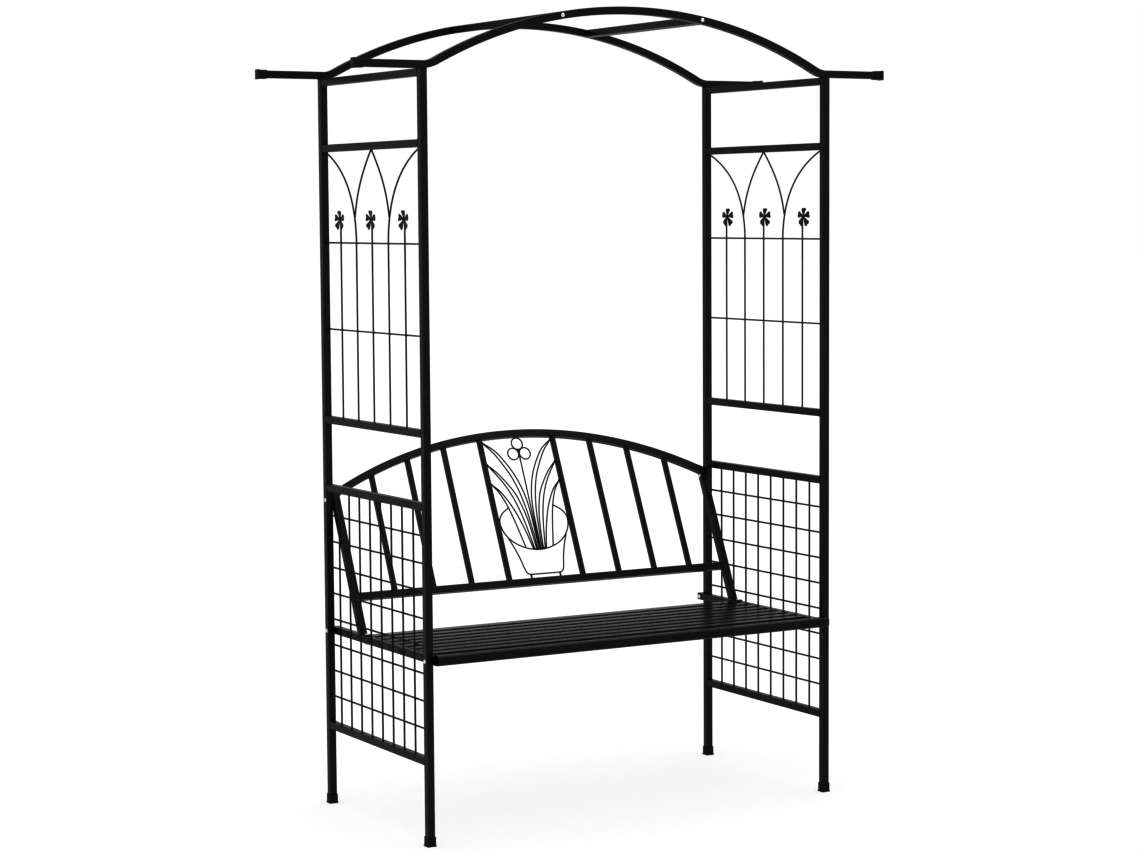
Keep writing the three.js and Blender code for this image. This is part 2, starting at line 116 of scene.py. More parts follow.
LEAN = math.atan(0.4577)    # the backrest's lean from the vertical
BACK_FOOT = Vector((0, 127.9 + MID_Y, 472))
STRUT_X = 569
BACK_PITCH = 113.4
BACK_SLAT = 12.7
BACK_BAR_S = 93             # bottom bar, up the slope
BACK_ARCH_R = 1222
BACK_ARCH_S = 515           # arch top, up the slope
ARCH_CENTRE = BACK_ARCH_S - BACK_ARCH_R
ORNAMENT = 1.75             # radius of the ornament's wire

UP = Vector((0, 0, 1))
ACROSS = Vector((1, 0, 0))
DEEP = Vector((0, 1, 0))
SLOPE_UP = Vector((0, math.sin(LEAN), math.cos(LEAN)))
SLOPE_OUT = Vector((0, math.cos(LEAN), -math.sin(LEAN)))


# ------------------------------------------------------------------ mesh building
class Body:
    """Vertices and faces of one piece in millimetres. Faces of weld metal are kept apart."""

    def __init__(self):
        self.points = []
        self.faces = []
        self.weld_faces = set()

    def rings(self, rings, closed=False, caps=True, weld=False):
        """Joins rings of equal length into a skin. Unless it closes on itself, caps end it."""
        first, n = len(self.points), len(rings[0])
        start = len(self.faces)
        for ring in rings:
            self.points.extend(ring)
        count = len(rings)
        for i in range(count if closed else count - 1):
            a, b = first + i * n, first + ((i + 1) % count) * n
            for k in range(n):
                j = (k + 1) % n
                self.faces.append((a + k, a + j, b + j, b + k))
        if caps and not closed:
            for ring, at, flip in ((rings[0], first, True), (rings[-1], first + (count - 1) * n, False)):
                middle = sum(ring, Vector()) / n
                self.points.append(middle)
                m = len(self.points) - 1
                for k in range(n):
                    pair = (at + k, at + (k + 1) % n)
                    self.faces.append((m, pair[1], pair[0]) if flip else (m, pair[0], pair[1]))
        if weld:
            self.weld_faces.update(range(start, len(self.faces)))

    def sweep(self, points, section, across, closed=False, radii=None, weld=False, caps=True):
        """Sweeps a section along points; across is square to the whole curve's plane."""
        rings = []
        for i, p in enumerate(points):
            t = tangent(points, i, closed)
            side = (across - t * across.dot(t)).normalized()
            other = t.cross(side)
            r = radii[i] if radii else 1
            rings.append([p + (side * a + other * b) * r for a, b in section])
        self.rings(rings, closed, caps, weld)
        return rings


def tangent(points, i, closed=False):
    n = len(points)
    if closed:
        return (points[(i + 1) % n] - points[i - 1]).normalized()
    t = Vector()
    if i > 0:
        t += (points[i] - points[i - 1]).normalized()
    if i < n - 1:
        t += (points[i + 1] - points[i]).normalized()
    return t.normalized()


def circle(radius, sides=12):
    return [(radius * math.cos(2 * math.pi * k / sides), radius * math.sin(2 * math.pi * k / sides))
            for k in range(sides)]


def rounded(width, height=None, corner=CORNER, steps=CORNER_STEPS):
    """Rounded rectangle, with a point just inside each end of its flats to keep them flat."""
    w, h = width / 2, (height or width) / 2
    lip = min(0.35, 0.2 * (min(w, h) - corner))
    points = []
    for sx, sy, start in ((1, 1, 0), (-1, 1, 90), (-1, -1, 180), (1, -1, 270)):
        cx, cy = sx * (w - corner), sy * (h - corner)
        arc = [(cx + corner * math.cos(math.radians(start + 90 * k / steps)),
                cy + corner * math.sin(math.radians(start + 90 * k / steps))) for k in range(steps + 1)]
        (ax, ay), (bx, by) = arc[0], arc[-1]
        into = math.radians(start)
        before = (ax + lip * math.sin(into), ay - lip * math.cos(into))
        after = (bx - lip * math.cos(into), by - lip * math.sin(into))
        points += [before] + arc + [after]
    return points


def to_plane(ring, along, point, normal):
    """Slides each point of a ring along a direction until it lies in a plane."""
    return [p + along * ((point - p).dot(normal) / along.dot(normal)) for p in ring]


def bar(body, section, a, b, across, cut_a=None, cut_b=None):
    """Straight bar from a to b. cut_a and cut_b are the end planes' normals."""
    along = (b - a).normalized()
    other = along.cross(across)
    rings = []
    for p, cut in ((a, cut_a or along), (b, cut_b or along)):
        ring = [p + across * u + other * v for u, v in section]
        rings.append(to_plane(ring, along, p, cut))
    body.rings(rings)


def open_bar(body, outer, inner, a, b, across):
    """Straight tube with both ends open."""
    other = (b - a).normalized().cross(across)

    def ring(p, section):
        return [p + across * u + other * v for u, v in section]
    body.rings([ring(a, outer), ring(b, outer), ring(b, inner), ring(a, inner)], closed=True)


def bead(body, path, across, size=1.5, seed=1, closed=True):
    """Weld bead along a path: a rippled cord of metal."""
    rnd = random.Random(seed)
    phase = rnd.uniform(0, 6.28)
    points, radii, run = [], [], 0
    for i, p in enumerate(path):
        run += (p - path[i - 1]).length if i else 0
        ripple = 0.13 * math.sin(run * 2.6 + phase) + 0.1 * math.sin(run * 0.7 + 2 * phase)
        radii.append(1 + ripple + rnd.uniform(-0.05, 0.05))
        points.append(p)
    body.sweep(points, circle(size, 8), across, closed, radii, weld=True)


def end_bead(body, centre, u, v, width, height, size=1.4, seed=1):
    """Bead round the end of a rounded bar, where it meets another piece's face."""
    outline = rounded(width, height, min(CORNER, 0.3 * min(width, height or width)), 4)
    path, n = [], len(outline)
    for i, (a, b) in enumerate(outline):
        c, d = outline[(i + 1) % n]
        steps = max(1, round(math.hypot(c - a, d - b) / 1.6))
        path += [centre + u * (a + (c - a) * k / steps) + v * (b + (d - b) * k / steps) for k in range(steps)]
    rnd = random.Random(seed)
    phase = rnd.uniform(0, 6.28)
    normal = u.cross(v)
    rings, run = [], 0
    for i, p in enumerate(path):
        t = tangent(path, i, True)
        out = t.cross(normal)
        run += (p - path[i - 1]).length
        r = size * (1 + 0.12 * math.sin(run * 2.4 + phase) + 0.12 * math.sin(run * 0.45 + 2 * phase))
        rings.append([p + out * (r * 0.8 * math.cos(a) - 0.2) + normal * r * 0.8 * math.sin(a)
                      for a in (2 * math.pi * k / 8 for k in range(8))])
    body.rings(rings, closed=True, weld=True)


def nugget(body, centre, size, axis, seed=1, squash=0.7):
    """Small lump of weld metal, a little irregular."""
    rnd = random.Random(seed)
    side = axis.orthogonal().normalized()
    other = axis.cross(side)
    rings, sides = [], 9
    for k in range(1, 6):
        a = math.pi * k / 6
        r, h = size * math.sin(a), size * squash * math.cos(a)
        rings.append([centre + axis * h + (side * math.cos(2 * math.pi * j / sides)
                      + other * math.sin(2 * math.pi * j / sides)) * r * rnd.uniform(0.9, 1.1)
                      for j in range(sides)])
    body.rings(rings, weld=True)


FLARE = ((0, 1.75), (0.5, 1.55), (1.1, 1.28), (1.9, 1.1), (3.0, 1.0))


def wire(body, points, radius, across, sides=12, flare=(True, True), seed=1):
    """Round wire along points, thickened at its welded ends."""
    rnd = random.Random(seed)
    points = list(points)
    total = sum((b - a).length for a, b in zip(points, points[1:]))
    stations = [0.0]
    for a, b in zip(points, points[1:]):
        stations.append(stations[-1] + (b - a).length)

    def at(s):
        s = min(max(s, 0), total)
        for i in range(len(points) - 1):
            if s <= stations[i + 1] or i == len(points) - 2:
                share = (s - stations[i]) / max(stations[i + 1] - stations[i], 1e-9)
                return points[i].lerp(points[i + 1], share)
        return points[-1].copy()
    marks = {s: 1.0 for s in stations}
    for end, wanted in ((0, flare[0]), (1, flare[1])):
        swell = rnd.uniform(0.9, 1.15)
        for distance, grow in FLARE if wanted else ():
            s = distance if end == 0 else total - distance
            marks[s] = 1 + (grow - 1) * swell
    path = sorted(marks)
    kept = [s for i, s in enumerate(path) if i == 0 or s - path[i - 1] > 0.05]
    body.sweep([at(s) for s in kept], circle(radius, sides), across, radii=[marks[s] for s in kept])


def spin(body, profile, centre, axis, sides=36, shape=None):
    """Turns a profile of (radius, height) rows about an axis. shape bends a row's radius by angle."""
    side = axis.orthogonal().normalized()
    other = axis.cross(side)
    rings = []
    for row, (radius, height) in enumerate(profile):
        ring = []
        for k in range(sides):
            a = 2 * math.pi * k / sides
            r = shape(row, a, radius) if shape else radius
            ring.append(centre + (side * math.cos(a) + other * math.sin(a)) * r + axis * height)
        rings.append(ring)
    body.rings(rings)


def smooth(points, steps=6, closed=False):
    """Centripetal Catmull-Rom curve through points."""
    pts = [Vector(p) for p in points]
    n = len(pts)
    out = []
    for i in range(n if closed else n - 1):
        p1, p2 = pts[i], pts[(i + 1) % n]
        p0 = pts[i - 1] if (closed or i > 0) else p1 * 2 - p2
        p3 = pts[(i + 2) % n] if (closed or i < n - 2) else p2 * 2 - p1
        t0, t1 = 0, (p1 - p0).length ** 0.5
        t2 = t1 + (p2 - p1).length ** 0.5
        t3 = t2 + (p3 - p2).length ** 0.5
        for k in range(steps):
            t = t1 + (t2 - t1) * k / steps
            a1 = p0 * ((t1 - t) / (t1 - t0)) + p1 * ((t - t0) / (t1 - t0))
            a2 = p1 * ((t2 - t) / (t2 - t1)) + p2 * ((t - t1) / (t2 - t1))
            a3 = p2 * ((t3 - t) / (t3 - t2)) + p3 * ((t - t2) / (t3 - t2))
            b1 = a1 * ((t2 - t) / (t2 - t0)) + a2 * ((t - t0) / (t2 - t0))
            b2 = a2 * ((t3 - t) / (t3 - t1)) + a3 * ((t - t1) / (t3 - t1))
            out.append(b1 * ((t2 - t) / (t2 - t1)) + b2 * ((t - t1) / (t2 - t1)))
    if not closed:
        out.append(pts[-1].copy())
    return out


def bezier(p0, p1, p2, p3, steps=28):
    out = []
    for k in range(steps + 1):
        t = k / steps
        out.append(p0 * (1 - t) ** 3 + p1 * (3 * t * (1 - t) ** 2) + p2 * (3 * t * t * (1 - t)) + p3 * t ** 3)
    return out


def place(name, body, materials, replaces=(), sharp=38):
    """Makes the Blender object of a piece, in metres, riding on the one body."""
    mesh = bpy.data.meshes.new(name)
    mesh.from_pydata([p * MM for p in body.points], [], body.faces)
    shell = bmesh.new()
    shell.from_mesh(mesh)
    bmesh.ops.recalc_face_normals(shell, faces=shell.faces)
    shell.to_mesh(mesh)
    shell.free()
    for material in materials:
        mesh.materials.append(material)
    for polygon in mesh.polygons:
        polygon.use_smooth = True
        if polygon.index in body.weld_faces:
            polygon.material_index = len(materials) - 1
    mesh.set_sharp_from_angle(angle=math.radians(sharp))
    mesh.update()
    piece = bpy.data.objects.new(name, mesh)
    bpy.context.scene.collection.objects.link(piece)
    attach(piece, "root")
    if replaces:
        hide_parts(*replaces)
    return piece


# ------------------------------------------------------------------ materials
class Nodes:
    """Short way to write a node material."""

    def __init__(self, name):
        self.material = bpy.data.materials.new(name)
        self.material.use_nodes = True
        self.tree = self.material.node_tree
        self.shader = self.tree.nodes["Principled BSDF"]
        self.where = self.add("ShaderNodeTexCoord").outputs["Object"]

    def add(self, kind, **values):
        node = self.tree.nodes.new(kind)
        for key, value in values.items():
            setattr(node, key, value)
        return node

    def link(self, a, b):
        self.tree.links.new(a, b)

    def noise(self, scale, detail=2.0, rough=0.5, stretch=None):
        node = self.add("ShaderNodeTexNoise")
        node.inputs["Scale"].default_value = scale
        node.inputs["Detail"].default_value = detail
        node.inputs["Roughness"].default_value = rough
        source = self.where
        if stretch:
            mapping = self.add("ShaderNodeMapping")
            mapping.inputs["Scale"].default_value = stretch
            self.link(source, mapping.inputs["Vector"])
            source = mapping.outputs["Vector"]
        self.link(source, node.inputs["Vector"])
        return node.outputs["Fac"]

    def spread(self, source, low, high, out_low, out_high):
        node = self.add("ShaderNodeMapRange")
        for key, value in (("From Min", low), ("From Max", high), ("To Min", out_low), ("To Max", out_high)):
            node.inputs[key].default_value = value
        self.link(source, node.inputs["Value"])
        return node.outputs["Result"]

    def ramp(self, source, stops):
        node = self.add("ShaderNodeValToRGB")
        elements = node.color_ramp.elements
        while len(elements) < len(stops):
            elements.new(0.5)
        for element, (position, colour) in zip(elements, stops):
            element.position = position
            element.color = (*colour, 1)
        self.link(source, node.inputs["Fac"])
        return node.outputs["Color"]

    def bump(self, source, strength, distance, below=None):
        node = self.add("ShaderNodeBump")
        node.inputs["Strength"].default_value = strength
        node.inputs["Distance"].default_value = distance
        self.link(source, node.inputs["Height"])
        if below:
            self.link(below, node.inputs["Normal"])
        return node.outputs["Normal"]

    def set(self, **values):
        for key, value in values.items():
            self.shader.inputs[key.replace("_", " ")].default_value = value

    def feed(self, key, source):
        self.link(source, self.shader.inputs[key])


def coat_material(name, dark, light, rough, peel, pits):
    """Black powder coat: orange peel, fine grain, and slow drifts of tone and gloss."""
    m = Nodes(name)
    m.set(IOR=1.5, Specular_IOR_Level=0.5, Metallic=0.0)
    drift = m.noise(9, 3)
    grain = m.noise(1900, 1)
    m.feed("Base Color", m.ramp(drift, ((0.3, dark), (0.72, light))))
    m.feed("Roughness", m.spread(m.noise(60, 4, 0.6), 0.3, 0.7, rough[0], rough[1]))
    coarse = m.bump(m.noise(420, 1.5, 0.45), peel, 0.00006)
    fine = m.bump(grain, pits, 0.00002, coarse)
    m.feed("Normal", fine)
    return m.material


def plastic_material():
    """Moulded black plastic: fine spark grain and slightly uneven gloss."""
    m = Nodes("cap_plastic")
    m.set(IOR=1.48, Specular_IOR_Level=0.45)
    m.feed("Base Color", m.ramp(m.noise(30, 3), ((0.3, (0.018, 0.018, 0.0183)), (0.7, (0.026, 0.026, 0.0263)))))
    m.feed("Roughness", m.spread(m.noise(120, 3), 0.3, 0.7, 0.42, 0.56))
    m.feed("Normal", m.bump(m.noise(1300, 2), 0.35, 0.00005))
    return m.material


def zinc_material():
    """Bright zinc plate: brushed streaks, faint clouding."""
    m = Nodes("zinc_plate")
    m.set(Metallic=0.8)
    m.feed("Base Color", m.ramp(m.noise(260, 4), ((0.3, (0.74, 0.75, 0.76)), (0.7, (0.90, 0.90, 0.89)))))
    m.feed("Roughness", m.spread(m.noise(500, 3), 0.3, 0.7, 0.3, 0.48))
    m.feed("Normal", m.bump(m.noise(900, 2, 0.5, (1, 1, 6)), 0.25, 0.00004))
    return m.material


COAT = coat_material("powder_coat", (0.0180, 0.0180, 0.0175), (0.0245, 0.0245, 0.0238), (0.29, 0.37), 0.12, 0.1)
SEAT_COAT = coat_material("powder_coat_seat", (0.0160, 0.0160, 0.0157), (0.0225, 0.0225, 0.0220), (0.25, 0.32), 0.05, 0.04)
WIRE_COAT = coat_material("powder_coat_wire", (0.0150, 0.0150, 0.0145), (0.0215, 0.0215, 0.0208), (0.32, 0.40), 0.12, 0.1)
WELD_COAT = coat_material("powder_coat_weld", (0.0150, 0.0150, 0.0146), (0.0215, 0.0215, 0.0208), (0.34, 0.48), 0.5, 0.3)
CAP = plastic_material()
ZINC = zinc_material()
COATED = (COAT, WELD_COAT)
WIRED = (WIRE_COAT, WELD_COAT)


# ------------------------------------------------------------------ caps and fasteners
CAP_FLOOR = 3
CAP_DEPTH = 24
CAP_INNER = HALF + GAP / 2
# (half width, height, corner radius) from the closed face, round the lip and up the sleeve
CAP_OUTSIDE = [
    (11.6, 0, 1.6), (12.1, 0.15, 1.8), (12.4, 0.6, 2.0), (12.4, 1.6, 2.0), (12.1, 2.5, 2.0),
    (11.4, 3.6, 1.9), (11.15, 4.6, 1.8), (11.1, 6, 1.8), (11.05, 22.8, 1.8), (10.9, 23.6, 1.7),
    (10.5, 23.95, 1.6), (10.1, CAP_DEPTH, 1.5),
]
CAP_INSIDE = [(CAP_INNER, CAP_DEPTH, 1.4), (CAP_INNER, CAP_FLOOR, 1.4)]


def cap(name, node, base, axis, u):
    """Plastic cap over a tube's end: base is on its closed face, axis points into it."""
    body = Body()
    v = axis.cross(u)
    rings = []
    for half, height, corner in CAP_OUTSIDE + CAP_INSIDE:
        outline = rounded(2 * half, 2 * half, corner, 6)
        rings.append([base + u * a + v * b + axis * height for a, b in outline])
    body.rings(rings)
    place(name, body, (CAP,), (node,), 50)


def hexagon(apothem, a):
    turn = (a + math.pi / 6) % (math.pi / 3) - math.pi / 6
    return apothem / math.cos(turn)


def bolt_head(body, base, axis):
    """Button head with a hexagon socket. base is on the face that it sits on."""
    rows = [(3.0, -0.2), (5.35, -0.1), (5.5, 0.12), (5.48, 0.5), (5.2, 1.2), (4.6, 1.95), (3.8, 2.5), (2.9, 2.85),
            (2.25, 2.95), (1.95, 2.9), (1.75, 2.6), (1.72, 1.2), (0.6, 0.9)]

    def socket(row, a, radius):
        if row < 9:
            return radius
        return hexagon(radius, a) if row < 12 else radius
    spin(body, rows, base, axis, 36, socket)


def cap_nut(body, base, axis):
    """Hexagon nut with a domed end. base is on the face that it sits on."""
    rows = [(4.4, -0.2), (5.6, 0.0), (5.6, 0.2), (5.1, 0.35), (5.1, 3.3), (4.5, 3.55), (3.9, 3.6), (3.75, 4.1),
            (3.3, 4.75), (2.5, 5.15), (1.2, 5.3), (0.4, 5.32)]

    def flats(row, a, radius):
        return min(hexagon(4.9, a), 5.5) if row in (3, 4) else radius
    spin(body, rows, base, axis, 36, flats)


def fastener(name, node, centre, axis, grip, far=bolt_head):
    """Bolt with a button head at +axis; far makes what shows at its other end."""
    body = Body()
    bolt_head(body, centre + axis * grip / 2, axis)
    if far:
        far(body, centre - axis * grip / 2, -axis)
    spin(body, [(2.9, -grip / 2), (2.9, grip / 2)], centre, axis, 16)
    place(name, body, (ZINC,), (node,), 32)


# ------------------------------------------------------------------ side frames
TUBE_SECTION = rounded(TUBE)


def post(side, sx, end):
    node = f"post_{end}_{side}"
    low, high = node_box(node)
    x, y = sx * POST_X, POST_Y[end]
    body = Body()
    bar(body, TUBE_SECTION, Vector((x, y, low.z)), Vector((x, y, high.z)), ACROSS)
    # the hoop is welded to the post's top
    end_bead(body, Vector((x, y, high.z)), ACROSS, DEEP, TUBE, TUBE, 1.3, 7 + (sx > 0) + 2 * (end == "rear"))
    place(f"{end}_{side}_post", body, COATED, (node,))
    foot = node_box(f"foot_cap_{end}_{side}")[0]
    cap(f"{end}_{side}_foot", f"foot_cap_{end}_{side}", Vector((x, y, foot.z)), UP, ACROSS)


def rail(body, x, z, seed, face_sign):
    """Tube between the posts with a bead at each end."""
    a = Vector((x, MID_Y - RAIL_LENGTH / 2 - GAP, z))
    b = Vector((x, MID_Y + RAIL_LENGTH / 2 + GAP, z))
    bar(body, TUBE_SECTION, a, b, ACROSS)
    for k, p in enumerate((a, b)):
        end_bead(body, p, ACROSS, UP, TUBE, TUBE, 1.35, seed + k)


def petal(body, centre, direction, half, reach, out):
    """One pressed petal: narrow at the centre, broad and blunt outside, slightly dished."""
    rows, across = 10, 10
    root, thick = 1.6, 0.7
    turn = math.radians(direction)
    widest = reach * math.sin(math.radians(half))
    along = DEEP * math.cos(turn) + UP * math.sin(turn)
    aside = UP * math.cos(turn) - DEEP * math.sin(turn)
    top, bottom = [], []
    for i in range(rows + 1):
        s = i / rows
        width = root + (widest - root) * s ** 1.1
        if s > 0.8:
            width *= math.sqrt(1 - ((s - 0.8) / 0.3) ** 2)
        for j in range(across + 1):
            w = 2 * j / across - 1
            # the blunt end has a shallow notch in its middle
            edge = (5.2 * w ** 2 - 6.6 * w ** 4 - 0.9) * s ** 4
            dish = 1.2 * w * w * s + 1.1 * s * s
            base = centre + along * (root + (reach - root) * s + edge) + aside * (w * width) + out * dish
            top.append(base + out * thick)
            bottom.append(base - out * thick)
    first, n = len(body.points), across + 1
    body.points.extend(top + bottom)
    shift = len(top)

    def index(i, j, lower=False):
        return first + i * n + j + (shift if lower else 0)
    for i in range(rows):
        for j in range(across):
            body.faces.append((index(i, j), index(i, j + 1), index(i + 1, j + 1), index(i + 1, j)))
            body.faces.append((index(i, j, True), index(i + 1, j, True), index(i + 1, j + 1, True),
                               index(i, j + 1, True)))
    edge = [(i, 0) for i in range(rows + 1)] + [(rows, j) for j in range(1, n)]
    edge += [(i, across) for i in range(rows - 1, -1, -1)] + [(0, j) for j in range(across - 1, 0, -1)]
    for (i, j), (k, m) in zip(edge, edge[1:] + edge[:1]):
        body.faces.append((index(i, j), index(k, m), index(k, m, True), index(i, j, True)))


def scroll_panel(side, sx):
    body = Body()
    x = sx * POST_X
    seed = 40 if sx > 0 else 20
    low, high = RAIL_SCROLL_BOTTOM + HALF, RAIL_SCROLL_TOP - HALF
    rail(body, x, RAIL_SCROLL_TOP, seed, sx)
    rail(body, x, RAIL_SCROLL_BOTTOM, seed + 4, sx)

    def at(dx, dy, z):
        return Vector((x + dx, MID_Y + dy, z))
    for i in range(-2, 3):
        top = FLOWER_Z - 1 if i % 2 == 0 else ROD_BEND_Z
        rod = [at(0, i * ROD_PITCH, low - 0.5), at(0, i * ROD_PITCH, top)]
        wire(body, rod, ROD, DEEP, flare=(True, False), seed=seed + i)
        for z in ROD_CROSS:
            nugget(body, at(-sx * 1.5, i * ROD_PITCH, z), 2.9, ACROSS, seed + 10 + i, 0.75)
    for z in ROD_CROSS:
        cross = [at(-sx * (2 * ROD - 1), -RAIL_LENGTH / 2 - GAP, z), at(-sx * (2 * ROD - 1), RAIL_LENGTH / 2 + GAP, z)]
        wire(body, cross, ROD, UP, seed=int(z))
    for s in (-1, 1):
        y = ROD_PITCH
        outer = bezier(at(0, s * y, ROD_BEND_Z), at(0, s * (y + 4.4), 1563.9),
                       at(0, s * (y + 46.2), 1649.7), at(0, s * (y + 177), high))
        y += BRANCH_OUT
        inner = bezier(at(0, s * y, BRANCH_Z), at(0, s * (y - 14), BRANCH_Z + 65),
                       at(0, s * (y - 41.2), BRANCH_Z + 108), at(0, s * 1.6, high))
        for path in (outer, inner):
            wire(body, path, ROD, ACROSS, flare=(False, True), seed=seed + 2 * s)
    for i in (-2, 0, 2):
        centre = at(sx * (ROD + 0.4), i * ROD_PITCH, FLOWER_Z)
        for direction, half, reach in PETALS:
            petal(body, centre, direction, half, reach, Vector((sx, 0, 0)))
        nugget(body, centre + Vector((sx * 0.6, 0, 0)), 4.3, ACROSS, seed + 30 + i, 0.5)
    place(f"{side}_scroll_panel", body, WIRED, (f"scroll_panel_{side}",))


def mesh_panel(side, sx):
    body = Body()
    x = sx * POST_X
    seed = 90 if sx > 0 else 70
    rail(body, x, RAIL_ARM, seed, sx)
    rail(body, x, RAIL_FOOT, seed + 4, sx)
    low, high = RAIL_FOOT + HALF, RAIL_ARM - HALF
    out = sx * (WIRE - 0.45)
    heights = [MESH_FIRST_Z + i * MESH_PITCH_Z for i in range(MESH_WIRES)]
    depths = [MID_Y + (i - (MESH_WIRES - 1) / 2) * MESH_PITCH_Y for i in range(MESH_WIRES)]
    for i, y in enumerate(depths):
        wire(body, [Vector((x + out, y, low - 0.4)), Vector((x + out, y, high + 0.4))], WIRE, DEEP, seed=seed + i)
    ends = (MID_Y - RAIL_LENGTH / 2 - GAP, MID_Y + RAIL_LENGTH / 2 + GAP)
    for i, z in enumerate(heights):
        wire(body, [Vector((x - out, ends[0], z)), Vector((x - out, ends[1], z))], WIRE, UP, seed=seed + 10 + i)
    for i, y in enumerate(depths):
        for j, z in enumerate(heights):
            nugget(body, Vector((x, y, z)), 2.7, ACROSS, seed + 8 * i + j, 0.75)
    place(f"{side}_mesh_panel", body, WIRED, (f"mesh_panel_{side}",))


# ------------------------------------------------------------------ roof
HOOP_CENTRE = HOOP_APEX - HOOP_RADIUS
BEND_Z = HOOP_LEVEL + HOOP_BEND
BEND_X = math.sqrt((HOOP_RADIUS + HOOP_BEND) ** 2 - (BEND_Z - HOOP_CENTRE) ** 2)
BEND_ANGLE = math.asin(BEND_X / (HOOP_RADIUS + HOOP_BEND))


def hoop_half():
    """Points of the right half from the wing's end to the apex, each with its share of bend."""
    rows = [(WING_END, HOOP_LEVEL, 0), (700, HOOP_LEVEL, 0)]
    bend_steps, lead = 14, 10
    start = BEND_X + lead
    rows += [(start, HOOP_LEVEL, 0)]
    for i in range(bend_steps + 1):
        a = BEND_ANGLE * i / bend_steps
        share = math.sin(math.pi * min(1, max(0, (i + 1) / (bend_steps + 2)))) ** 1.5
        rows.append((BEND_X - HOOP_BEND * math.sin(a), BEND_Z - HOOP_BEND * math.cos(a), share))
    arch_steps = 46
    for i in range(1, arch_steps + 1):
        a = BEND_ANGLE * (1 - i / arch_steps)
        rows.append((HOOP_RADIUS * math.sin(a), HOOP_CENTRE + HOOP_RADIUS * math.cos(a), 0))
    return rows


def hoop(end, sy):
    y = POST_Y[end]
    half = hoop_half()
    rows = [(-x, z, d) for x, z, d in half] + [(x, z, d) for x, z, d in reversed(half[:-1])]
    points = [Vector((x, y, z)) for x, z, _ in rows]
    body = Body()
    rings = []
    for i, p in enumerate(points):
        t = tangent(points, i)
        up = t.cross(DEEP) * -1
        if up.z < 0:
            up = -up
        ring = []
        for a, b in TUBE_SECTION:
            sink = BEND_DIP * rows[i][2] * max(0, b / HALF) * math.cos(a / HALF * math.pi / 2.3)
            swell = 0.5 * rows[i][2] * (1 - (b / HALF) ** 2) * (1 if a > 0 else -1)
            ring.append(p + DEEP * (a + swell) + up * (b - sink))
        rings.append(ring)
    body.rings(rings)
    place(f"{end}_hoop", body, COATED, (f"hoop_{end}",))
    for side, sx in SIDES:
        node = f"wing_cap_{end}_{side}"
        low, high = node_box(node)
        base = Vector((high.x if sx > 0 else low.x, y, HOOP_LEVEL))
        cap(f"{end}_{side}_wing_cap", node, base, Vector((-sx, 0, 0)), DEEP)


def crossbar(side, sx):
    tilt = math.asin(CROSSBAR_X / HOOP_RADIUS)
    z = HOOP_CENTRE + math.sqrt(HOOP_RADIUS ** 2 - CROSSBAR_X ** 2)
    x = sx * CROSSBAR_X
    low, high = node_box(f"crossbar_{side}")
    body = Body()
    across = Vector((math.cos(tilt), 0, -sx * math.sin(tilt)))
    bar(body, TUBE_SECTION, Vector((x, low.y, z)), Vector((x, high.y, z)), across)
    place(f"{side}_crossbar", body, COATED, (f"crossbar_{side}",))
    for end, sy in ENDS:
        fastener(f"{end}_{side}_crossbar_screw", f"crossbar_screw_{end}_{side}", Vector((x, POST_Y[end], z)),
                 Vector((0, sy, 0)), TUBE, far=None)


# ------------------------------------------------------------------ seat
def seat():
    for side, sx in SIDES:
        node = f"seat_side_bar_{side}"
        low, high = node_box(node)
        c = (low + high) / 2
        body = Body()
        open_bar(body, TUBE_SECTION, rounded(TUBE - 2.8, TUBE - 2.8, 0.5),
                 Vector((c.x, low.y - GAP, c.z)), Vector((c.x, high.y, c.z)), ACROSS)
        end_bead(body, Vector((c.x, low.y - GAP, c.z)), ACROSS, UP, TUBE, TUBE, 1.3, 5 + sx)
        place(f"{side}_seat_side_bar", body, COATED, (node,))
    low, high = node_box("seat_front_bar")
    c, size = (low + high) / 2, high.z - low.z
    body = Body()
    open_bar(body, rounded(size, size, 6.2, 9), rounded(size - 2.8, size - 2.8, 4.8, 9),
             Vector((low.x, c.y, c.z)), Vector((high.x, c.y, c.z)), DEEP)
    place("front_seat_bar", body, (SEAT_COAT, WELD_COAT), ("seat_front_bar",))
    for i in range(8):
        node = f"seat_slat_{i + 1}"
        low, high = node_box(node)
        c = (low + high) / 2
        body = Body()
        section = rounded(high.y - low.y, high.z - low.z, 2.4, 5)
        bar(body, section, Vector((low.x - GAP, c.y, c.z)), Vector((high.x + GAP, c.y, c.z)), DEEP)
        for k, x in enumerate((low.x - GAP, high.x + GAP)):
            end_bead(body, Vector((x, c.y, c.z)), DEEP, UP, high.y - low.y, high.z - low.z, 1.1, 100 + 2 * i + k)
        place(f"slat_{i + 1}", body, (SEAT_COAT, WELD_COAT), (node,))
    low, high = node_box("seat_rear_bar")
    c, size = (low + high) / 2, high.z - low.z
    body = Body()
    bar(body, rounded(size, size, 2), Vector((low.x - GAP, c.y, c.z)), Vector((high.x + GAP, c.y, c.z)), DEEP)
    for k, x in enumerate((low.x - GAP, high.x + GAP)):
        end_bead(body, Vector((x, c.y, c.z)), DEEP, UP, size, size, 1.1, 140 + k)
    place("rear_seat_bar", body, (SEAT_COAT, WELD_COAT), ("seat_rear_bar",))


# ------------------------------------------------------------------ backrest
def slope(x, s, out=0):
    """Point of the leaning backrest: x across, s up the slope, out behind its middle plane."""
    return BACK_FOOT + ACROSS * x + SLOPE_UP * s + SLOPE_OUT * out


def arch_s(x, radius=BACK_ARCH_R):
    return ARCH_CENTRE + math.sqrt(radius * radius - x * x)


def arch_normal(x):
    a = math.asin(x / BACK_ARCH_R)
    return ACROSS * math.sin(a) + SLOPE_UP * math.cos(a)


